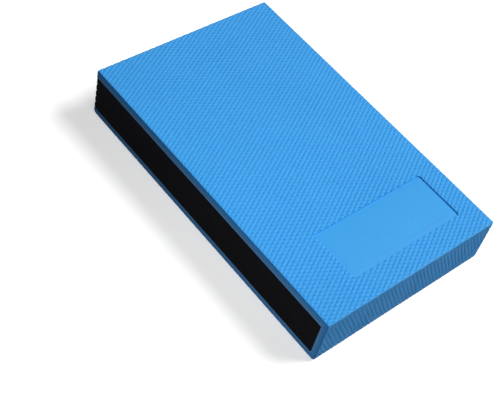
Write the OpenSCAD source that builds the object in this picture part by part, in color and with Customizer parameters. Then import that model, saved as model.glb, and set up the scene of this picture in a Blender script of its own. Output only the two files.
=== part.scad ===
// Foam balance pad: a black foam core under a blue top skin, with a second
// blue sheet folded under the core and up one end, where it meets the skin in
// a mitre. The long sides are cut through all the layers, and the other end
// shows the bare core.
// Millimetres, +Z up. The origin is the middle of the underside, X runs along
// the pad towards the wrapped end, and Y runs across it.

/* [Pad] */
// Length of the pad, from the bare end to the wrapped end
pad_length = 380; // [260:1:520]
// Width of the pad, from one cut side to the other
pad_width = 235; // [200:1:420]
// Height of the standing face above the floor
pad_height = 64; // [40:1:90]

/* [Foam layers] */
// Thickness of the top skin
top_skin_t = 10.5; // [6:0.5:14]
// Thickness of the sheet under the pad and up the wrapped end
wrap_t = 7.5; // [6.5:0.5:12]
// Thickness of each hot-melt bond film
bond_t = 0.4; // [0.2:0.1:1]
// Outside radius of the lower edges at the two ends
lower_edge_r = 5; // [1:0.5:6]

/* [Label recess] */
// Size of the recess along the pad
label_x = 61; // [30:1:90]
// Size of the recess across the pad
label_y = 151; // [60:1:160]
// Depth of the recess below the standing face
label_depth = 1.2; // [0.5:0.1:3]
// Radius of the recess's four corners
label_corner_r = 3; // [1:0.5:10]
// Gap between the recess and the wrapped end
label_end_gap = 27.5; // [15:0.5:60]
// Gap between the recess and the nearer cut side
label_side_gap = 25.5; // [10:0.5:35]

/* [Hidden] */

// How far a cutting shape runs past the face it opens
over = 1;
// Sides of a full circle
round_fn = 96;

// Heights where the layers meet, from the floor up
core_z0 = wrap_t + bond_t;
skin_z0 = pad_height - top_skin_t;
core_z1 = skin_z0 - bond_t;

// Places along the pad where the layers meet at the wrapped end
bare_end_x = -pad_length / 2;
wrapped_end_x = pad_length / 2;
upstand_x = wrapped_end_x - wrap_t;
core_end_x = upstand_x - bond_t;
// Rise of the mitre for each millimetre towards the wrapped end
mitre_slope = top_skin_t / wrap_t;

// Centre of the label recess
label_cx = wrapped_end_x - label_end_gap - label_x / 2;
label_cy = pad_width / 2 - label_side_gap - label_y / 2;

foam_blue = [0.27, 0.61, 0.88];
foam_black = [0.07, 0.07, 0.08];
film_grey = [0.45, 0.50, 0.55];

// A lengthwise outline, X along and Y up, carried across the whole width
module across_pad() {
  translate([0, pad_width / 2, 0])
    rotate([90, 0, 0])
      linear_extrude(height = pad_width)
        children();
}

// A box outline between two corners
module strip(x0, z0, x1, z1) {
  translate([x0, z0])
    square([x1 - x0, z1 - z0]);
}

// The whole pad's outline up to a height, with its lower edges rounded
module rounded_sole(height) {
  strip(bare_end_x, lower_edge_r, wrapped_end_x, height);
  strip(bare_end_x + lower_edge_r, 0, wrapped_end_x - lower_edge_r, height);
  for (x = [bare_end_x + lower_edge_r, wrapped_end_x - lower_edge_r])
    translate([x, lower_edge_r])
      circle(r = lower_edge_r, $fn = round_fn);
}

// The recess seen from above, as a rectangle with round corners
module label_outline() {
  half_x = label_x / 2;
  half_y = label_y / 2;
  square([label_x - 2 * label_corner_r, label_y], center = true);
  square([label_x, label_y - 2 * label_corner_r], center = true);
  for (sx = [-1, 1], sy = [-1, 1])
    translate([sx * (half_x - label_corner_r), sy * (half_y - label_corner_r)])
      circle(r = label_corner_r, $fn = round_fn);
}

// Black closed-cell block that carries the load
module foam_core() {
  color(foam_black)
    across_pad()
      strip(bare_end_x, core_z0, core_end_x, core_z1);
}

// Everything above the folded sheet: the core's room, then the mitre's slope
module above_wrap() {
  polygon([
    [bare_end_x - over, wrap_t],
    [upstand_x, wrap_t],
    [upstand_x, core_z1],
    [wrapped_end_x + over, pad_height - bond_t + over * mitre_slope],
    [bare_end_x - over, pad_height - bond_t + over * mitre_slope]
  ]);
}

// Blue sheet under the core, folded up over the wrapped end
module base_wrap() {
  color(foam_blue)
    across_pad()
      difference() {
        rounded_sole(pad_height);
        above_wrap();
      }
}

// Bond film between the core and the folded sheet
module wrap_bond() {
  color(film_grey)
    across_pad() {
      strip(bare_end_x, wrap_t, upstand_x, core_z0);
      strip(core_end_x, wrap_t, upstand_x, core_z1);
    }
}

// Bond film under the top skin, over the core and up the mitre
module top_bond() {
  color(film_grey)
    across_pad()
      polygon([
        [bare_end_x, core_z1],
        [upstand_x, core_z1],
        [wrapped_end_x, pad_height - bond_t],
        [wrapped_end_x, pad_height],
        [upstand_x, skin_z0],
        [bare_end_x, skin_z0]
      ]);
}

// Blue skin that is stood on, with a shallow bare recess pressed into it
module top_skin() {
  color(foam_blue)
    difference() {
      across_pad()
        polygon([
          [bare_end_x, skin_z0],
          [upstand_x, skin_z0],
          [wrapped_end_x, pad_height],
          [bare_end_x, pad_height]
        ]);
      translate([label_cx, label_cy, pad_height - label_depth])
        linear_extrude(height = label_depth + over)
          label_outline();
    }
}

foam_core();
base_wrap();
wrap_bond();
top_bond();
top_skin();
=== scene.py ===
# %% [markdown]
# # A foam balance pad
# The real thing is a block of closed-cell foam to stand on. A black core
# carries the weight. A blue skin is bonded on top, and a second blue sheet is
# folded under the core and up one end. The moulded faces carry a pattern of
# small raised diamonds, and the long sides are plain knife cuts.
# The CAD frame gives the size and place of every layer. Only the fine things,
# such as the pattern's pitch and relief, are values of this script.

# %% Load the frame
import math

import bmesh
import bpy
from mathutils import Matrix, Quaternion, Vector, noise


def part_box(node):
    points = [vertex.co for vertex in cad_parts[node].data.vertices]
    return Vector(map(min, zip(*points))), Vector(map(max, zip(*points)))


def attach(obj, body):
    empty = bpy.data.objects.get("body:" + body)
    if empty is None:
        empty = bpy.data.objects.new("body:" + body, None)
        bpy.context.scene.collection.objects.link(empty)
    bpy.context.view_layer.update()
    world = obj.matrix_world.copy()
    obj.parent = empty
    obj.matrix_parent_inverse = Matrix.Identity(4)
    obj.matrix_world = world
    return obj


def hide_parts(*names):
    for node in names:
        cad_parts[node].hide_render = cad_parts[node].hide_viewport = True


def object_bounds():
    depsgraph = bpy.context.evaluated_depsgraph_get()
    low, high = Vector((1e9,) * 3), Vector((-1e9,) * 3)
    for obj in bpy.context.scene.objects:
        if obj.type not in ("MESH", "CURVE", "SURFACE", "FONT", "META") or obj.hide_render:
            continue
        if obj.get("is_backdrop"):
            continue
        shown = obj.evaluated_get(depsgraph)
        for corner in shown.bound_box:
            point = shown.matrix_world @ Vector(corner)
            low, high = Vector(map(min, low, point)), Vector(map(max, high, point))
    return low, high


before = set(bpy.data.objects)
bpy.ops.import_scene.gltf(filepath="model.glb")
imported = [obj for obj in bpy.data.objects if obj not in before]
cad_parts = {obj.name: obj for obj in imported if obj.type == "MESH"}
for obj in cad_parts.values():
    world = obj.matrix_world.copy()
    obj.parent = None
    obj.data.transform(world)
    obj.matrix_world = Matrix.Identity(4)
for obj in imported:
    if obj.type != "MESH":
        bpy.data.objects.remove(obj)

cad_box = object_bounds()
mm = 0.001
print("pad size in mm:", [round((b - a) / mm, 1) for a, b in zip(*cad_box)])

# %% [markdown]
# ## Places where the layers meet
# Each layer's box says where it starts and stops. Two sizes are not in any
# box: the round lower edge of the folded sheet, and the shallow recess in the
# top skin. Both are read from the corners of the CAD meshes.

# %% Read the layers
skin_low, skin_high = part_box("top_skin")
wrap_low, wrap_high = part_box("base_wrap")
core_low, core_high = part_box("foam_core")
film_low, film_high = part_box("wrap_bond")

skin_thickness = skin_high.z - skin_low.z
wrap_thickness = film_low.z - wrap_low.z
film_thickness = core_low.z - film_low.z
upstand_x = film_high.x
half_width = skin_high.y

hair = 0.01 * mm
sole_corners = [v.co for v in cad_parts["base_wrap"].data.vertices if v.co.z < hair]
lower_edge_r = min(c.x for c in sole_corners) - wrap_low.x

recess_shallowest = 0.2 * mm
recess_deepest = 3 * mm
recess_floor = [
    v.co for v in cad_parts["top_skin"].data.vertices
    if recess_shallowest < skin_high.z - v.co.z < recess_deepest
]
recess_low = Vector([min(c[i] for c in recess_floor) for i in range(3)])
recess_high = Vector([max(c[i] for c in recess_floor) for i in range(3)])
layer_sizes = (skin_thickness, wrap_thickness, film_thickness)
print("skin, wrap and film in mm:", [round(size / mm, 2) for size in layer_sizes])
print("lower edge radius in mm:", round(lower_edge_r / mm, 2))
print("recess in mm:", [round(v / mm, 1) for v in (*recess_low, *recess_high)])

# %% [markdown]
# ## Camera
# The camera looks down on one corner from a little over a metre away, with a
# long lens. It is rolled, so the pad lies across the frame on a slant.
# An aim point, two angles, a distance and a roll say this better than a
# rotation matrix would.

# %% Make the camera
pad_middle = Vector((0, 0, (skin_high.z + wrap_low.z) / 2))
aim_shift = Vector((20.8 * mm, -70.7 * mm, 0))
aim = pad_middle + aim_shift
view_azimuth = math.radians(38.64)
view_elevation = math.radians(50.1)
view_roll = math.radians(15.93)
view_distance = 1.138
sensor_width = 36
focal_length = 79.78

back = Vector((
    math.sin(view_azimuth) * math.cos(view_elevation),
    -math.cos(view_azimuth) * math.cos(view_elevation),
    math.sin(view_elevation),
))
camera = bpy.data.objects.new("camera", bpy.data.cameras.new("camera"))
bpy.context.scene.collection.objects.link(camera)
camera.data.sensor_fit = "HORIZONTAL"
camera.data.sensor_width = sensor_width
camera.data.lens = focal_length
camera.location = aim + back * view_distance
camera.rotation_mode = "QUATERNION"
camera.rotation_quaternion = (-back).to_track_quat("-Z", "Y") @ Quaternion((0, 0, 1), view_roll)
bpy.context.scene.camera = camera
bpy.context.scene.view_settings.view_transform = "Standard"
print("camera at", [round(v, 3) for v in camera.location])

# %% [markdown]
# ## Node helpers
# Shader trees and geometry trees are both nodes joined by links. One helper
# adds a node, sets its options, and either links or sets each input. A second
# one writes a sum, because the bending rule further down needs many of them.
# A third turns a colour from the usual 0 to 255 scale into the linear values
# that a shader works with.

# %% Helpers for nodes
def feed(tree, socket, value):
    """Links the socket to another socket, or sets it to a plain value."""
    if isinstance(value, bpy.types.NodeSocket):
        tree.links.new(value, socket)
    else:
        socket.default_value = value


def add_node(tree, kind, inputs=None, **options):
    made = tree.nodes.new(kind)
    for name, value in options.items():
        setattr(made, name, value)
    for name, value in (inputs or {}).items():
        feed(tree, made.inputs[name], value)
    return made


def calc(tree, operation, *values, clamp=False):
    made = add_node(tree, "ShaderNodeMath", operation=operation, use_clamp=clamp)
    for socket, value in zip(made.inputs, values):
        feed(tree, socket, value)
    return made.outputs[0]


def srgb(red, green, blue):
    def linear(level):
        share = level / 255
        return share / 12.92 if share <= 0.04045 else ((share + 0.055) / 1.055) ** 2.4
    return (linear(red), linear(green), linear(blue), 1)


print("a middle grey of 128 is, in linear light,", round(srgb(128, 128, 128)[0], 3))

# %% [markdown]
# ## Floor
# A studio sweep looks white because it is lit to the top of the range. Here
# the floor is a very pale grey with some glow of its own, so it reads as white
# and still takes the pad's shadow. The glow rises away from the pad, so the
# sweep stays white out to the horizon. Only rays that see the background get
# this: those from the camera, from a reflection or from inside glass. For soft
# light that bounces up at the pad the floor is darker, or it would wash out the
# cut sides.

# %% Make the floor
floor_seen = 0.9
floor_bounce = 0.28
glow_near = 0.55
glow_far = 1.0
glow_starts = 0.4
glow_ends = 1.0
floor_reach = 6
floor_drop = 0.05 * mm


def background_rays(tree):
    """1 for a ray from the camera, from a reflection or from inside glass, otherwise 0."""
    rays = add_node(tree, "ShaderNodeLightPath").outputs
    seen = calc(tree, "ADD", rays["Is Camera Ray"], rays["Is Glossy Ray"])
    return calc(tree, "ADD", seen, rays["Is Transmission Ray"], clamp=True)


def make_floor():
    mesh = bpy.data.meshes.new("floor")
    signs = ((-1, -1), (1, -1), (1, 1), (-1, 1))
    corners = [(x * floor_reach, y * floor_reach, wrap_low.z - floor_drop) for x, y in signs]
    mesh.from_pydata(corners, [], [(0, 1, 2, 3)])
    floor = bpy.data.objects.new("floor", mesh)
    bpy.context.scene.collection.objects.link(floor)
    floor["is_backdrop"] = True
    return floor


floor = make_floor()
floor_paint = bpy.data.materials.new("floor_paint")
floor_paint.use_nodes = True
tree = floor_paint.node_tree
tree.nodes.clear()
seen = background_rays(tree)
place = add_node(tree, "ShaderNodeTexCoord").outputs["Object"]
away = add_node(tree, "ShaderNodeVectorMath", {0: place}, operation="LENGTH").outputs["Value"]
rising_glow = add_node(tree, "ShaderNodeMapRange", {
    "Value": away, "From Min": glow_starts, "From Max": glow_ends, "To Min": glow_near, "To Max": glow_far,
}).outputs["Result"]
glow = add_node(tree, "ShaderNodeEmission", {"Strength": calc(tree, "MULTIPLY", seen, rising_glow)})
extra = calc(tree, "MULTIPLY", seen, floor_seen - floor_bounce)
grey = calc(tree, "ADD", extra, floor_bounce)
matt = add_node(tree, "ShaderNodeBsdfDiffuse", {"Color": grey})
both = add_node(tree, "ShaderNodeAddShader", {0: glow.outputs[0], 1: matt.outputs[0]})
add_node(tree, "ShaderNodeOutputMaterial", {"Surface": both.outputs[0]})
floor.data.materials.append(floor_paint)
print("floor grey where it is seen and where it bounces:", floor_seen, floor_bounce)

# %% [markdown]
# ## Lamps
# The main lamp stands to the right of the pad and a little behind it, so it
# shines along one family of grooves and across the other. Mostly the second
# family then casts shade, on the top and on the wrapped end alike. A long low
# lamp at floor level lifts the near end of the cut side and leaves the top
# alone. A small lamp over the near edge brightens the top there.
# A lamp is easiest to think of as an aim point, a bearing, a height angle and
# a distance, so the helper takes those.

# %% Make the lamps
def soft_lamp(name, target, azimuth, elevation, distance, size, power):
    """Angles in degrees; size is (width, height) of the round or oval face."""
    made = bpy.data.objects.new(name, bpy.data.lights.new(name, "AREA"))
    bpy.context.scene.collection.objects.link(made)
    made.data.shape = "ELLIPSE"
    made.data.size, made.data.size_y = size
    made.data.energy = power
    made.visible_camera = False
    round_by = math.radians(azimuth)
    up_by = math.radians(elevation)
    way = Vector((
        math.cos(round_by) * math.cos(up_by),
        math.sin(round_by) * math.cos(up_by),
        math.sin(up_by),
    ))
    made.location = target + way * distance
    made.rotation_mode = "QUATERNION"
    made.rotation_quaternion = (-way).to_track_quat("-Z", "Y")
    print(name, power, "W at", [round(v, 2) for v in made.location])


near_end = pad_middle + Vector((150 * mm, 0, 0))
near_edge = Vector((60 * mm, -95 * mm, skin_high.z))
soft_lamp("main_lamp", pad_middle, azimuth=62, elevation=50, distance=3.0, size=(1.7, 1.7), power=97)
soft_lamp("side_lamp", near_end, azimuth=-85, elevation=0, distance=0.5, size=(0.3, 0.05), power=0.45)
soft_lamp("near_lamp", near_edge, azimuth=-90, elevation=80, distance=0.3, size=(0.15, 0.15), power=0.19)

# %% [markdown]
# ## World
# The world gives a low even fill, so no side goes black. Rays that see the
# background find it white, as they do the floor.

# %% Make the world
fill_level = 0.06
world = bpy.data.worlds.new("studio")
bpy.context.scene.world = world
world.use_nodes = True
tree = world.node_tree
tree.nodes.clear()
extra = calc(tree, "MULTIPLY", background_rays(tree), 1 - fill_level)
sky = add_node(tree, "ShaderNodeBackground", {"Strength": calc(tree, "ADD", extra, fill_level)})
sky.inputs["Color"].default_value = (1, 1, 1, 1)
add_node(tree, "ShaderNodeOutputWorld", {"Surface": sky.outputs[0]})
print("fill", fill_level)

# %% [markdown]
# ## Moulded blue foam
# A mould leaves closed-cell foam with a tight, satin skin. The colour is even,
# with slow drifts and very fine mottling. The foot of each groove is painted a
# little darker, as painted shade, but only slightly: nearly all of a groove's
# darkness is its own slope turned from the light. The geometry writes how deep
# each point is, so the painted shade follows the same shape as the relief.
# Broad noise gives the drift, fine noise the mottle, and both read the pad's
# own coordinates, so the pattern stays put from every side. All the foams are
# built from the same few steps: a noise, its spread between two levels, a mix
# of two colours and a change of brightness.

# %% Helpers for foam materials
noise_low = 0.3
noise_high = 0.7


def new_material(name):
    made = bpy.data.materials.new(name)
    made.use_nodes = True
    made.node_tree.nodes.clear()
    return made, made.node_tree


def noise_of(tree, place, scale, detail=2.0, roughness=0.5):
    made = add_node(tree, "ShaderNodeTexNoise", {
        "Vector": place, "Scale": scale, "Detail": detail, "Roughness": roughness,
    })
    return made.outputs["Fac"]


def spread(tree, value, low, high):
    """Noise keeps mostly to its middle, so that part is stretched from low to high."""
    made = add_node(tree, "ShaderNodeMapRange", {
        "Value": value, "From Min": noise_low, "From Max": noise_high, "To Min": low, "To Max": high,
    })
    return made.outputs["Result"]


def mix_colour(tree, share, first, second):
    """A Mix node has a set of sockets for each kind of value; 6, 7 and output 2 are the colours."""
    made = add_node(tree, "ShaderNodeMix", {0: share, 6: first, 7: second}, data_type="RGBA")
    return made.outputs[2]


def brighten(tree, colour, level):
    made = add_node(tree, "ShaderNodeHueSaturation", {"Color": colour, "Value": level})
    return made.outputs["Color"]


def add_surface(tree, colour, roughness, height, bump_strength, bump_depth, shine):
    """The last step of every finish: a bumped surface with its own shine."""
    bump = add_node(tree, "ShaderNodeBump", {
        "Height": height, "Strength": bump_strength, "Distance": bump_depth,
    })
    surface = add_node(tree, "ShaderNodeBsdfPrincipled", {
        "Base Color": colour, "Roughness": roughness, "Normal": bump.outputs["Normal"],
        "Specular IOR Level": shine,
    })
    add_node(tree, "ShaderNodeOutputMaterial", {"Surface": surface.outputs[0]})


print("noise is stretched from", noise_low, "to", noise_high)

# %% [markdown]
# The folded sheet is duller than the skin, so it has a blue of its own, a
# little greyer and with hardly any shine. The core's moulded end is the same
# finish in black.

# %% Moulded foam, blue and black
def moulded_foam(name, crest, groove, rough, shine):
    made, tree = new_material(name)
    place = add_node(tree, "ShaderNodeTexCoord").outputs["Object"]
    depth = add_node(tree, "ShaderNodeAttribute", attribute_name="groove").outputs["Fac"]
    drift = spread(tree, noise_of(tree, place, scale=14, detail=3), low=0.985, high=1.015)
    mottle = spread(tree, noise_of(tree, place, scale=900, detail=2), low=0.95, high=1.05)
    level = calc(tree, "MULTIPLY", drift, mottle)
    # The groove colour is painted shade, mixed in by how deep the point is.
    colour = brighten(tree, mix_colour(tree, depth, crest, groove), level)
    patches = noise_of(tree, place, scale=260, detail=3)
    roughness = spread(tree, patches, low=rough - 0.05, high=rough + 0.05)
    skin_grain = noise_of(tree, place, scale=2600, detail=2, roughness=0.6)
    add_surface(tree, colour, roughness, skin_grain, bump_strength=0.25, bump_depth=0.08 * mm, shine=shine)
    return made


# Each groove colour is painted shade: darker than the crest, faintly in the blues and strongly in the
# black.
moulded_blue = moulded_foam(
    "moulded_blue_foam", crest=srgb(56, 160, 230), groove=srgb(53, 155, 226), rough=0.55, shine=0.28)
folded_blue = moulded_foam(
    "folded_blue_foam", crest=srgb(72, 158, 226), groove=srgb(68, 152, 221), rough=0.6, shine=0.04)
moulded_black = moulded_foam(
    "moulded_black_foam", crest=srgb(28, 28, 33), groove=srgb(14, 14, 18), rough=0.6, shine=0.08)
print("materials:", moulded_blue.name, folded_blue.name, moulded_black.name)

# %% [markdown]
# ## Cut foam
# A knife opens the cells, so a cut side is dead matt and full of fine pits. Near
# a moulded face the cells are smaller and the colour is deeper, and it gets
# paler and greyer further in. Small Voronoi cells give the open cells as relief,
# and painted shade darkens each cell towards its edge, where the relief is
# lowest. Two noises, one of a few millimetres and one much finer, mottle the
# colour, because the knife drags some cells and not others.

# %% Cut foam, blue and black
def cut_foam(name, outer, inner, pit_shade, cell_size, mottling, shine):
    made, tree = new_material(name)
    place = add_node(tree, "ShaderNodeTexCoord").outputs["Object"]
    inward = add_node(tree, "ShaderNodeAttribute", attribute_name="inward").outputs["Fac"]
    cells = add_node(tree, "ShaderNodeTexVoronoi", {"Vector": place, "Scale": 1 / cell_size})
    wall = calc(tree, "SUBTRACT", 1, cells.outputs["Distance"], clamp=True)
    torn = noise_of(tree, place, scale=230, detail=3, roughness=0.6)
    speckle = noise_of(tree, place, scale=1200, detail=3, roughness=0.7)
    drift = spread(tree, torn, low=1 - mottling / 2, high=1 + mottling / 2)
    fleck = spread(tree, speckle, low=1 - mottling, high=1 + mottling)
    # The pit colour is painted shade, mixed in where the cell relief is lowest.
    pit_shade_share = calc(tree, "MULTIPLY", cells.outputs["Distance"], 0.4)
    colour = mix_colour(tree, pit_shade_share, mix_colour(tree, inward, outer, inner), pit_shade)
    colour = brighten(tree, colour, calc(tree, "MULTIPLY", drift, fleck))
    roughness = spread(tree, noise_of(tree, place, scale=700, detail=2), low=0.8, high=0.9)
    add_surface(tree, colour, roughness, wall, bump_strength=0.35, bump_depth=0.15 * mm, shine=shine)
    return made


# The darkest colour of each cut foam is painted shade for its pits.
cut_blue = cut_foam(
    "cut_blue_foam", outer=srgb(50, 132, 202), inner=srgb(99, 154, 208), pit_shade=srgb(34, 84, 134),
    cell_size=0.45 * mm, mottling=0.14, shine=0.03)
cut_black = cut_foam(
    "cut_black_foam", outer=srgb(23, 23, 28), inner=srgb(23, 23, 27), pit_shade=srgb(11, 11, 13),
    cell_size=0.6 * mm, mottling=0.4, shine=0.02)
print("materials:", cut_blue.name, cut_black.name)

# %% [markdown]
# ## Bond film
# The layers are held by a thin film that melts and sets. Only its edge shows,
# as a dark line a fraction of a millimetre wide that lies just inside the
# cut. It is denser than foam, so it is smoother and a little shiny.

# %% Film material
def bond_film(name, tint, drift, smoothest, roughest, shine):
    made, tree = new_material(name)
    place = add_node(tree, "ShaderNodeTexCoord").outputs["Object"]
    level = spread(tree, noise_of(tree, place, scale=180, detail=3), low=1 - drift, high=1 + drift)
    grain = noise_of(tree, place, scale=1500, detail=2)
    roughness = spread(tree, noise_of(tree, place, scale=400, detail=2), low=smoothest, high=roughest)
    colour = brighten(tree, tint, level)
    add_surface(tree, colour, roughness, grain, bump_strength=0.2, bump_depth=0.03 * mm, shine=shine)
    return made


film_material = bond_film(
    "dark_bond_film", tint=srgb(16, 30, 52), drift=0.25, smoothest=0.38, roughest=0.52, shine=0.1)
print("material:", film_material.name)

# %% [markdown]
# In the mitre both neighbours are blue, so the clear film there takes their
# colour and the joint almost vanishes. It is the same film in a blue tint.

# %% Film between two blue sheets
tinted_film = bond_film(
    "tinted_bond_film", tint=srgb(52, 124, 186), drift=0.08, smoothest=0.7, roughest=0.8, shine=0.05)
print("material:", tinted_film.name)

# %% [markdown]
# ## One tile of the diamond pattern
# The grooves run in two straight families that cross, so the pattern repeats
# on a rectangle. A rectangle holds four half diamonds, one on each side, with
# a crossing in the middle and at each corner. Tiles then meet edge to edge,
# and a face that is cut between two tiles shows half diamonds, as a knife
# leaves them.
# A tile has 32 faces. Rings step from the groove up to a nearly flat crest.

# %% Build the tile
ring_sizes = (1.0, 0.85, 0.69, 0.5)
ring_depths = (1.0, 0.5, 0.06, 0.0)


def pattern_tile():
    tile = bmesh.new()
    for quarter in range(4):
        turn = Matrix.Rotation(quarter * math.pi / 2, 3, "Z")
        rings = []
        for size, depth in zip(ring_sizes, ring_depths):
            left = Vector((-size / 2, -0.5, -depth))
            tip = Vector((0, -0.5 + size / 2, -depth))
            right = Vector((size / 2, -0.5, -depth))
            rings.append([tile.verts.new(turn @ p) for p in (left, tip, right)])
        for outer, inner in zip(rings, rings[1:]):
            tile.faces.new((outer[0], inner[0], inner[1], outer[1]))
            tile.faces.new((outer[1], inner[1], inner[2], outer[2]))
        crest = tile.verts.new(turn @ Vector((0, -0.5, 0)))
        tile.faces.new((rings[-1][0], crest, rings[-1][1]))
        tile.faces.new((rings[-1][1], crest, rings[-1][2]))
    bmesh.ops.remove_doubles(tile, verts=tile.verts, dist=1e-5)
    mesh = bpy.data.meshes.new("pattern_tile")
    tile.to_mesh(mesh)
    tile.free()
    return mesh


tile_mesh = pattern_tile()
print("faces in a tile:", len(tile_mesh.polygons))

# %% [markdown]
# ## A sheet that follows a bend
# Laying tiles by hand would be thousands of copies, so a node tree does it, in
# four steps that each have a function here. The first step puts a tile on every
# point of a grid and joins them into one flat sheet.

# %% Lay the tiles
def lay_tiles(tree, given):
    pitch_x = calc(tree, "DIVIDE", given["Length"], given["Tiles Along"])
    pitch_y = calc(tree, "DIVIDE", given["Width"], given["Tiles Across"])
    grid = add_node(tree, "GeometryNodeMeshGrid", {
        "Size X": calc(tree, "SUBTRACT", given["Length"], pitch_x),
        "Size Y": calc(tree, "SUBTRACT", given["Width"], pitch_y),
        "Vertices X": given["Tiles Along"],
        "Vertices Y": given["Tiles Across"],
    })
    size = add_node(tree, "ShaderNodeCombineXYZ", {"X": pitch_x, "Y": pitch_y, "Z": 1.0})
    tiles = add_node(tree, "GeometryNodeInstanceOnPoints", {
        "Points": grid.outputs["Mesh"], "Instance": given["Tile"], "Scale": size.outputs[0],
    })
    laid = add_node(tree, "GeometryNodeRealizeInstances", {"Geometry": tiles.outputs[0]})
    joined = add_node(tree, "GeometryNodeMergeByDistance", {
        "Geometry": laid.outputs[0], "Distance": hair,
    })
    return joined.outputs[0]


print("tile corners closer than", round(hair / mm, 3), "mm are joined")

# %% [markdown]
# The second step works out how deep each point is. Slow noise makes the relief
# a little shallower in places and lets the face undulate, because foam is never
# truly flat. Towards the last edge the relief fades to nothing, as it does
# where two sheets are welded and the heat presses the pattern flat.

# %% Work out the depth
shallowest_patch = 0.82


def sink_points(tree, given, part, along):
    """Gives the place in a groove, 0 on a crest and 1 at its foot, and the real depth."""
    left = calc(tree, "SUBTRACT", given["Length"], along)
    kept = calc(tree, "DIVIDE", left, given["Fade"], clamp=True)
    groove = calc(tree, "MULTIPLY", calc(tree, "MULTIPLY", part["Z"], -1.0), kept)
    flat = add_node(tree, "ShaderNodeCombineXYZ", {
        "X": part["X"], "Y": part["Y"], "Z": given["Seed"],
    }).outputs[0]
    patchy = spread(tree, noise_of(tree, flat, scale=28, detail=2), low=shallowest_patch, high=1.0)
    slow = spread(tree, noise_of(tree, flat, scale=11, detail=1), low=0.0, high=1.0)
    sunk = calc(tree, "MULTIPLY", calc(tree, "MULTIPLY", groove, given["Relief"]), patchy)
    sunk = calc(tree, "ADD", sunk, calc(tree, "MULTIPLY", slow, given["Unevenness"]))
    return groove, sunk


print("the relief goes down to", shallowest_patch, "of its depth in places")

# %% [markdown]
# The third step bends the flat sheet along a profile: an arc, a straight run,
# another arc and a straight rise. How far a point is along the sheet tells how
# much of each stretch lies behind it, and sine and cosine turn that into a
# place. The depth is then taken at right angles to the heading there. With both
# arcs at nothing the sheet stays flat.

# %% Bend the sheet
def bend_sheet(tree, given, part, along, sunk):
    radius_1, angle_1 = given["Start Radius"], given["Start Angle"]
    radius_2, angle_2 = given["End Radius"], given["End Angle"]
    first_arc = calc(tree, "MULTIPLY", radius_1, angle_1)
    last_arc = calc(tree, "MULTIPLY", radius_2, angle_2)
    on_first = calc(tree, "MINIMUM", along, first_arc)
    past_first = calc(tree, "MAXIMUM", calc(tree, "SUBTRACT", along, first_arc), 0.0)
    on_run = calc(tree, "MINIMUM", past_first, given["Run"])
    past_run = calc(tree, "MAXIMUM", calc(tree, "SUBTRACT", past_first, given["Run"]), 0.0)
    on_last = calc(tree, "MINIMUM", past_run, last_arc)
    rise = calc(tree, "SUBTRACT", past_run, on_last)

    lean = calc(tree, "SUBTRACT", angle_1, calc(tree, "DIVIDE", on_first, radius_1))
    turn = calc(tree, "DIVIDE", on_last, radius_2)
    heading = calc(tree, "SUBTRACT", turn, lean)

    x = calc(tree, "SUBTRACT", calc(tree, "SINE", angle_1), calc(tree, "SINE", lean))
    x = calc(tree, "MULTIPLY", x, radius_1)
    x = calc(tree, "ADD", x, on_run)
    x = calc(tree, "ADD", x, calc(tree, "MULTIPLY", calc(tree, "SINE", turn), radius_2))
    x = calc(tree, "ADD", x, calc(tree, "MULTIPLY", rise, calc(tree, "COSINE", angle_2)))
    x = calc(tree, "SUBTRACT", x, calc(tree, "MULTIPLY", calc(tree, "SINE", heading), sunk))

    drop_1 = calc(tree, "SUBTRACT", 1.0, calc(tree, "COSINE", lean))
    climb_2 = calc(tree, "SUBTRACT", 1.0, calc(tree, "COSINE", turn))
    z = calc(tree, "MULTIPLY", drop_1, radius_1)
    z = calc(tree, "ADD", z, calc(tree, "MULTIPLY", climb_2, radius_2))
    z = calc(tree, "ADD", z, calc(tree, "MULTIPLY", rise, calc(tree, "SINE", angle_2)))
    z = calc(tree, "ADD", z, calc(tree, "MULTIPLY", calc(tree, "COSINE", heading), sunk))
    return add_node(tree, "ShaderNodeCombineXYZ", {"X": x, "Y": part["Y"], "Z": z}).outputs[0]


print("the profile is an arc, a run, an arc and a rise")

# %% [markdown]
# The last step joins the others. The groove depth is also stored on the points,
# where the moulded foam's material reads it to paint shade into the grooves. The
# copies are made real at the end and get their material, because the exported
# model keeps no instances.

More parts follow.
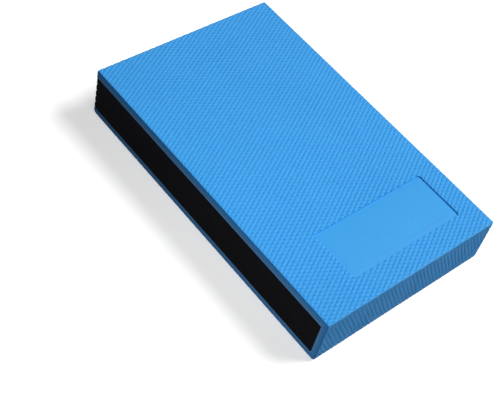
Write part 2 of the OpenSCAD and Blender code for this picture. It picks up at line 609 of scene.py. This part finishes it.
# %% Build the tree
def sheet_tree():
    tree = bpy.data.node_groups.new("embossed_sheet", "GeometryNodeTree")
    tree.interface.new_socket("Tile", in_out="INPUT", socket_type="NodeSocketGeometry")
    names = ("Length", "Width", "Tiles Along", "Tiles Across", "Relief", "Unevenness",
             "Start Radius", "Start Angle", "Run", "End Radius", "End Angle", "Fade", "Seed")
    whole = ("Tiles Along", "Tiles Across")
    for name in names:
        kind = "NodeSocketInt" if name in whole else "NodeSocketFloat"
        tree.interface.new_socket(name, in_out="INPUT", socket_type=kind)
    tree.interface.new_socket("Material", in_out="INPUT", socket_type="NodeSocketMaterial")
    tree.interface.new_socket("Sheet", in_out="OUTPUT", socket_type="NodeSocketGeometry")
    given = add_node(tree, "NodeGroupInput").outputs

    place = add_node(tree, "GeometryNodeInputPosition").outputs[0]
    part = add_node(tree, "ShaderNodeSeparateXYZ", {"Vector": place}).outputs
    along = calc(tree, "ADD", part["X"], calc(tree, "MULTIPLY", given["Length"], 0.5))
    groove, sunk = sink_points(tree, given, part, along)
    marked = add_node(tree, "GeometryNodeStoreNamedAttribute", {
        "Geometry": lay_tiles(tree, given), "Name": "groove", "Value": groove,
    }, data_type="FLOAT", domain="POINT")
    bent = add_node(tree, "GeometryNodeSetPosition", {
        "Geometry": marked.outputs[0], "Position": bend_sheet(tree, given, part, along, sunk),
    })
    solid = add_node(tree, "GeometryNodeRealizeInstances", {"Geometry": bent.outputs[0]})
    painted = add_node(tree, "GeometryNodeSetMaterial", {
        "Geometry": solid.outputs[0], "Material": given["Material"],
    })
    add_node(tree, "NodeGroupOutput", {"Sheet": painted.outputs[0]})
    return tree


embossing = sheet_tree()
print("nodes in the tree:", len(embossing.nodes))

# %% [markdown]
# A sheet is then one call: the tree's inputs by name, and a plain mesh back.
# The tree divides by the start radius, so a sheet with a flat start keeps a
# real radius and takes an angle of nothing.

# %% Lay a sheet
def lay_sheet(name, values):
    holder = bpy.data.objects.new(name, tile_mesh.copy())
    bpy.context.scene.collection.objects.link(holder)
    modifier = holder.modifiers.new("embossing", "NODES")
    modifier.node_group = embossing
    for item in embossing.interface.items_tree:
        if item.item_type == "SOCKET" and item.in_out == "INPUT" and item.name in values:
            modifier[item.identifier] = values[item.name]
    evaluated = holder.evaluated_get(bpy.context.evaluated_depsgraph_get())
    mesh = bpy.data.meshes.new_from_object(evaluated)
    bpy.data.objects.remove(holder)
    print(name, "has", len(mesh.polygons), "faces")
    return mesh


inputs = [item.name for item in embossing.interface.items_tree if item.in_out == "INPUT"]
print("a sheet takes", len(inputs), "inputs")

# %% [markdown]
# ## From a sheet to a closed layer
# Each foam layer is a moulded face with plain sides behind it. The rim of the
# embossed sheet is carried back in rings: the first ones round the edge a
# little, the next run down the side, and one large face on the last ring closes
# the layer. The rings store how far in they are, which the cut foam reads as
# its distance from the moulded face.

# %% Close a sheet
def rim_in_order(bm):
    """The one open rim of a sheet, as vertices in walking order."""
    edges = [e for e in bm.edges if e.is_boundary]
    start = edges[0].verts[0]
    rim, before, here = [start], None, start
    while True:
        onward = [e.other_vert(here) for e in here.link_edges if e.is_boundary]
        following = onward[0] if onward[0] is not before else onward[1]
        if following is start:
            return rim
        rim.append(following)
        before, here = here, following


def close_sheet(mesh, behind, sideways, rings, cap_at=None):
    """behind(co) is where a rim point ends up and sideways(co) the way it moves out.

    rings holds (share of the way back, distance out) steps.
    """
    bm = bmesh.new()
    bm.from_mesh(mesh)
    inward = bm.verts.layers.float.new("inward")
    for face in bm.faces:
        face.material_index = 0
    rim = rim_in_order(bm)
    starts = [v.co.copy() for v in rim]
    ends = [behind(v.co) for v in rim]
    outs = [sideways(v.co) for v in rim]
    last = rim
    for share, out in rings:
        ring = []
        for start, end, aside in zip(starts, ends, outs):
            made = bm.verts.new(start.lerp(end, share) + aside * out)
            made[inward] = share
            ring.append(made)
        for i in range(len(ring)):
            j = (i + 1) % len(ring)
            face = bm.faces.new((last[i], last[j], ring[j], ring[i]))
            face.material_index = 1
        last = ring
    caps = [last] if cap_at is None else cap_at(last)
    for cap in caps:
        bm.faces.new(cap).material_index = 1
    bmesh.ops.recalc_face_normals(bm, faces=bm.faces)
    return bm


print("a closed layer has material 0 on its moulded face and 1 on its cuts")

# %% [markdown]
# ## The cut and the finished piece
# A knife never cuts quite true, so the long sides dip inwards here and there by
# a fraction of a millimetre. Each side reads its own part of the noise. Then a
# piece is smoothed up to a sharp corner, gets its materials and is hung on the
# pad's root body, and the CAD node it stands for is hidden.

# %% Waver and finish
cut_wave = 0.2 * mm
cut_reach = 0.02 * mm
waves_along = 22
waves_up = 30
side_apart = 5
sharp_corner = math.radians(50)


def waver(bm):
    for v in bm.verts:
        if abs(v.co.y) > half_width - cut_reach:
            side = math.copysign(side_apart, v.co.y)
            drift = noise.noise(Vector((v.co.x * waves_along, v.co.z * waves_up, side)))
            v.co.y -= math.copysign(cut_wave * (0.5 + 0.5 * drift), v.co.y)


def finish_piece(bm, name, materials, node):
    mesh = bpy.data.meshes.new(name)
    bm.to_mesh(mesh)
    bm.free()
    for material in materials:
        mesh.materials.append(material)
    mesh.polygons.foreach_set("use_smooth", [True] * len(mesh.polygons))
    mesh.set_sharp_from_angle(angle=sharp_corner)
    used = [p.material_index for p in mesh.polygons]
    print(name, "faces by material:", [used.count(i) for i in range(len(materials))])
    piece = bpy.data.objects.new(name, mesh)
    bpy.context.scene.collection.objects.link(piece)
    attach(piece, "root")
    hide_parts(node)
    return piece


print("the cut wavers by up to", round(cut_wave / mm, 2), "mm")

# %% [markdown]
# ## Top skin
# The face that is stood on. The diamonds are about five millimetres long
# along the pad and nearly twice that across it, and the pitch is rounded so that
# a whole number of them fits. At the wrapped end the face rolls over by a quarter
# turn and meets the folded sheet flush, so the mitre leaves no line outside.
# The relief is cut from the CAD face inwards, so only the crests reach it.

# %% Lay the top skin
diamond_short = 5.04 * mm
diamond_long = 9.43 * mm
relief = 0.79 * mm
unevenness = 0.2 * mm
edge_round = 0.6 * mm
mitre_round = 1.8 * mm
mitre_fade = 1 * mm
quarter = math.pi / 2


def nearest_count(length, pitch):
    return max(1, round(length / pitch))


skin_run = skin_high.x - mitre_round - (skin_low.x + edge_round)
skin_length = skin_run + mitre_round * quarter
skin_width = 2 * (half_width - edge_round)
skin_sheet = lay_sheet("top_skin_sheet", {
    "Length": skin_length,
    "Width": skin_width,
    "Tiles Along": nearest_count(skin_length, diamond_short),
    "Tiles Across": nearest_count(skin_width, diamond_long),
    "Relief": relief,
    "Unevenness": unevenness,
    "Start Radius": mitre_round,
    "Start Angle": 0.0,
    "Run": skin_run,
    "End Radius": mitre_round,
    "End Angle": quarter,
    "Fade": mitre_fade + mitre_round * quarter,
    "Seed": 0.3,
    "Material": moulded_blue,
})
for v in skin_sheet.vertices:
    v.co.x += skin_low.x + edge_round
    v.co.z = skin_high.z - v.co.z

# %% [markdown]
# Behind the face, the skin's sides go straight down, except at the wrapped end:
# there the mitre leans back under the face to where the upstand begins. So a
# point of the rim comes down at the same share of a shorter length.

# %% Close the top skin
rim_reach = 0.05 * mm
reach_mitre = 1.002


def at_side(co, reach):
    return math.copysign(1, co.y) if abs(co.y) > reach - rim_reach else 0


def behind_skin(co):
    start = skin_low.x + edge_round
    share = (co.x - start) / (skin_high.x - start)
    x = start + min(1, share * reach_mitre) * (upstand_x - start)
    return Vector((x, co.y, skin_low.z))


def beside_skin(co):
    at_bare_end = co.x < skin_low.x + edge_round + rim_reach
    return Vector((-1 if at_bare_end else 0, at_side(co, half_width - edge_round), 0))


wall_rings = (
    (0.02, 0.7 * edge_round), (0.06, edge_round), (0.15, edge_round), (0.35, edge_round),
    (0.6, edge_round), (0.85, edge_round), (0.97, edge_round), (1.0, 0.85 * edge_round),
)
skin_bm = close_sheet(skin_sheet, behind_skin, beside_skin, wall_rings)
waver(skin_bm)
print("top skin closed:", all(e.is_manifold for e in skin_bm.edges))

# %% [markdown]
# ## The recess in the skin
# A shallow panel is pressed flat near the wrapped end, off the centre line.
# It is left bare. Pressed foam springs back most in the middle of the panel,
# so the floor is crowned: the middle is at the CAD depth and the foot of the
# wall is a little deeper. A plug of this shape is taken out of the closed skin.
# It widens at the very top, because the rim of a hot press rolls over.

# %% Shape the plug
crown = 0.45 * mm
plug_corner = 3 * mm
arc_steps = 8
plug_steps = (
    (recess_low.z, -7 * mm),
    (recess_low.z - 0.1 * mm, -5 * mm),
    (recess_low.z - 0.3 * mm, -2 * mm),
    (recess_low.z - crown, 0),
    (skin_high.z - 0.35 * mm, 0.02 * mm),
    (skin_high.z - 0.22 * mm, 0.04 * mm),
    (skin_high.z - 0.08 * mm, 0.18 * mm),
    (skin_high.z + 0.02 * mm, 0.6 * mm),
    (skin_high.z + 1 * mm, 0.6 * mm),
)


def plug_outline(bm, height, out):
    """The recess's outline at a height, wider by out, with its four corners rounded."""
    outline = []
    reach = plug_corner + max(out, 0)
    back_by = plug_corner - min(out, 0)
    for corner, (sx, sy) in enumerate(((1, 1), (-1, 1), (-1, -1), (1, -1))):
        cx = (recess_high.x if sx > 0 else recess_low.x) - sx * back_by
        cy = (recess_high.y if sy > 0 else recess_low.y) - sy * back_by
        for step in range(arc_steps + 1):
            angle = (corner + step / arc_steps) * quarter
            place = (cx + reach * math.cos(angle), cy + reach * math.sin(angle), height)
            outline.append(bm.verts.new(place))
    return outline


def recess_plug():
    """A stack of outlines: crowned floor, wall and rolled rim."""
    bm = bmesh.new()
    rings = [plug_outline(bm, height, out) for height, out in plug_steps]
    for lower, upper in zip(rings, rings[1:]):
        for i in range(len(lower)):
            j = (i + 1) % len(lower)
            bm.faces.new((lower[i], lower[j], upper[j], upper[i]))
    bm.faces.new(rings[0])
    bm.faces.new(rings[-1])
    bmesh.ops.recalc_face_normals(bm, faces=bm.faces)
    return bm


print("recess floor crowned by", round(crown / mm, 2), "mm")

# %% [markdown]
# A Boolean takes the plug out. Blender's exact solver keeps the materials of
# both shapes, so the recess gets the moulded finish of the plug.

# %% Cut the recess
def subtract(bm, plug):
    holder_mesh = bpy.data.meshes.new("skin_holder")
    bm.to_mesh(holder_mesh)
    holder_mesh.materials.append(moulded_blue)
    holder_mesh.materials.append(cut_blue)
    holder = bpy.data.objects.new("skin_holder", holder_mesh)
    plug_mesh = bpy.data.meshes.new("plug")
    plug.to_mesh(plug_mesh)
    plug_mesh.materials.append(moulded_blue)
    cutter = bpy.data.objects.new("plug", plug_mesh)
    for made in (holder, cutter):
        bpy.context.scene.collection.objects.link(made)
    taken = holder.modifiers.new("recess", "BOOLEAN")
    taken.operation = "DIFFERENCE"
    taken.solver = "EXACT"
    taken.object = cutter
    evaluated = holder.evaluated_get(bpy.context.evaluated_depsgraph_get())
    result = bpy.data.meshes.new_from_object(evaluated)
    for made in (holder, cutter):
        bpy.data.objects.remove(made)
    return result


recessed = subtract(skin_bm, recess_plug())
skin_bm.free()
skin_bm = bmesh.new()
skin_bm.from_mesh(recessed)
top_skin = finish_piece(skin_bm, "top_skin_foam", (moulded_blue, cut_blue), "top_skin")
print("top skin faces:", len(top_skin.data.polygons))

# %% [markdown]
# ## Folded sheet
# One sheet lies under the pad, turns up at one end and stops in the mitre.
# Its diamonds run long ways along the sheet, so they lie along the pad
# underneath and stand upright on the end. The same tree makes it: a quarter
# turn at the bare end, a long run, a quarter turn and a rise.

# %% Lay the folded sheet
wrap_relief = 0.47 * mm
seam_gap = 0.05 * mm
wrap_run = wrap_high.x - wrap_low.x - 2 * lower_edge_r
wrap_rise = wrap_high.z - wrap_low.z - lower_edge_r - mitre_round - seam_gap
wrap_length = 2 * lower_edge_r * quarter + wrap_run + wrap_rise
wrap_width = 2 * (half_width - edge_round)
wrap_sheet = lay_sheet("folded_sheet", {
    "Length": wrap_length,
    "Width": wrap_width,
    "Tiles Along": nearest_count(wrap_length, diamond_long),
    "Tiles Across": nearest_count(wrap_width, diamond_short),
    "Relief": wrap_relief,
    "Unevenness": unevenness,
    "Start Radius": lower_edge_r,
    "Start Angle": quarter,
    "Run": wrap_run,
    "End Radius": lower_edge_r,
    "End Angle": quarter,
    "Fade": mitre_fade,
    "Seed": 4.1,
    "Material": folded_blue,
})
for v in wrap_sheet.vertices:
    v.co.x += wrap_low.x
    v.co.z += wrap_low.z

# %% [markdown]
# Inside, the fold has a square corner, where the floor of the sheet meets its
# upstand. So the rim is carried back to one of two planes, whichever is behind
# it, and the layer is closed in two faces that meet at the fold.

# %% Close the folded sheet
fold_reach = 0.1 * mm
fold = Vector((upstand_x, 0, wrap_low.z + wrap_thickness))


def on_upstand(co):
    """True past the middle of the fold's arc."""
    return co.z - wrap_low.z > wrap_high.x - co.x


def behind_wrap(co):
    if on_upstand(co):
        top = wrap_low.z + lower_edge_r + wrap_rise
        share = (co.z - wrap_low.z) / (top - wrap_low.z)
        z = fold.z + max(0, share) * (core_high.z - fold.z)
        return Vector((fold.x, co.y, min(z, core_high.z)))
    share = (co.x - wrap_low.x) / (wrap_high.x - wrap_low.x)
    x = wrap_low.x + min(1, max(0, share)) * (fold.x - wrap_low.x)
    return Vector((x, co.y, fold.z))


def beside_wrap(co):
    return Vector((0, at_side(co, half_width - edge_round), 0))


def two_caps(ring):
    """Splits the inner ring at the fold, once on each side of the pad."""
    def nearest(side):
        edge = half_width - edge_round - fold_reach
        on_side = [i for i, v in enumerate(ring) if v.co.y * side > edge]
        return min(on_side, key=lambda i: (Vector((ring[i].co.x, 0, ring[i].co.z)) - fold).length)
    a, b = sorted((nearest(1), nearest(-1)))
    for i in (a, b):
        ring[i].co.x, ring[i].co.z = fold.x, fold.z
    return [ring[a:b + 1], ring[b:] + ring[:a + 1]]


wrap_bm = close_sheet(wrap_sheet, behind_wrap, beside_wrap, wall_rings, two_caps)
waver(wrap_bm)
print("folded sheet closed:", all(e.is_manifold for e in wrap_bm.edges))
folded_sheet = finish_piece(
    wrap_bm, "folded_sheet_foam", (folded_blue, cut_blue), "base_wrap")

# %% [markdown]
# ## Black core
# The block in the middle is cut on its long sides and moulded at its bare
# end, with upright diamonds. That end is laid as a flat sheet and stood up.

# %% Lay the core's end
core_round = 0.3 * mm
core_relief = 1.6 * mm
no_fade = 0.001 * mm
core_rise = core_high.z - core_low.z - 2 * core_round
core_width = 2 * (half_width - core_round)
core_sheet = lay_sheet("core_end_sheet", {
    "Length": core_rise,
    "Width": core_width,
    "Tiles Along": nearest_count(core_rise, diamond_long),
    "Tiles Across": nearest_count(core_width, diamond_short),
    "Relief": core_relief,
    "Unevenness": unevenness,
    "Start Radius": lower_edge_r,
    "Start Angle": 0.0,
    "Run": core_rise,
    "End Radius": lower_edge_r,
    "End Angle": 0.0,
    "Fade": no_fade,
    "Seed": 7.7,
    "Material": moulded_black,
})
for v in core_sheet.vertices:
    v.co = Vector((core_low.x + v.co.z, v.co.y, core_low.z + core_round + v.co.x))

# %% [markdown]
# The rim of the end is carried along the whole length of the pad. It takes many
# rings to get there, so that the cut sides have enough points to waver.

# %% Close the core
def behind_core(co):
    return Vector((core_high.x, co.y, co.z))


def beside_core(co):
    up = 0
    if co.z < core_low.z + core_round + rim_reach:
        up = -1
    if co.z > core_high.z - core_round - rim_reach:
        up = 1
    return Vector((0, at_side(co, half_width - core_round), up))


rounded_by = 0.003
side_steps = 30
core_rings = [(rounded_by / 3, 0.7 * core_round), (rounded_by, core_round)]
for step in range(1, side_steps + 1):
    core_rings.append((rounded_by + (1 - rounded_by) * step / side_steps, core_round))
core_bm = close_sheet(core_sheet, behind_core, beside_core, core_rings)
waver(core_bm)
print("core closed:", all(e.is_manifold for e in core_bm.edges))
core = finish_piece(core_bm, "core_foam", (moulded_black, cut_black), "foam_core")

# %% [markdown]
# ## Bond films
# Each film is a thin ribbon the width of the pad, bent as the layers are. It
# stops a little short of the cut sides, so the foam edges stand on either side
# of it and it reads as a fine line.

# %% Lay the lower film
film_inset = 0.3 * mm
flush_inset = 0.12 * mm
steps_across = 24


def ribbon(name, sections, node, materials):
    """sections are (lower point, upper point, inset), with a material for each stretch between."""
    bm = bmesh.new()
    rows = []
    for step in range(steps_across + 1):
        row = []
        for lower, upper, inset in sections:
            y = (half_width - inset) * (2 * step / steps_across - 1)
            row.append([bm.verts.new((x, y, z)) for x, z in (lower, upper)])
        rows.append(row)
    for a in range(len(sections) - 1):
        b = a + 1
        made = []
        for one, two in zip(rows, rows[1:]):
            for side in (0, 1):
                made.append((one[a][side], one[b][side], two[b][side], two[a][side]))
        for row in (rows[0], rows[-1]):
            made.append((row[a][0], row[b][0], row[b][1], row[a][1]))
        for corners in made:
            bm.faces.new(corners).material_index = a
    for end in (0, -1):
        for one, two in zip(rows, rows[1:]):
            face = bm.faces.new((one[end][0], one[end][1], two[end][1], two[end][0]))
            face.material_index = 0 if end == 0 else len(sections) - 2
    bmesh.ops.recalc_face_normals(bm, faces=bm.faces)
    print(name, "closed:", all(e.is_manifold for e in bm.edges))
    return finish_piece(bm, name, materials, node)


bare_x = film_low.x + film_inset
ribbon("lower_bond_film", (
    ((bare_x, film_low.z), (bare_x, core_low.z), film_inset),
    ((upstand_x, film_low.z), (core_high.x, core_low.z), film_inset),
    ((upstand_x, film_high.z), (core_high.x, film_high.z), film_inset),
), "wrap_bond", (film_material, film_material))

# %% [markdown]
# The upper film runs over the core and then up the mitre. It stops before the
# mitre's rounded edge, so it never shows on the outside.

# %% Lay the upper film
mitre_share = 0.85
mitre_x = upstand_x + mitre_share * (wrap_high.x - upstand_x)
mitre_over = skin_low.z + mitre_share * (skin_thickness - mitre_round)
mitre_under = core_high.z + mitre_share * (skin_high.z - mitre_round - seam_gap - core_high.z)
ribbon("upper_bond_film", (
    ((bare_x, core_high.z), (bare_x, skin_low.z), film_inset),
    ((upstand_x, core_high.z), (upstand_x, skin_low.z), film_inset),
    ((mitre_x, mitre_under), (mitre_x, mitre_over), flush_inset),
), "top_bond", (film_material, tinted_film))

# %% [markdown]
# ## Size against the CAD box
# How far the looks reach past the CAD box is printed for each axis; a negative
# number means they stop short of it. The looks have to stay inside the CAD
# box. Both boxes are written down, so they can be compared.

# %% Measure the growth
visual_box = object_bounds()
growth = (visual_box[1] - visual_box[0]) - (cad_box[1] - cad_box[0])
print("grew by, in mm:", [round(g / mm, 2) for g in growth])
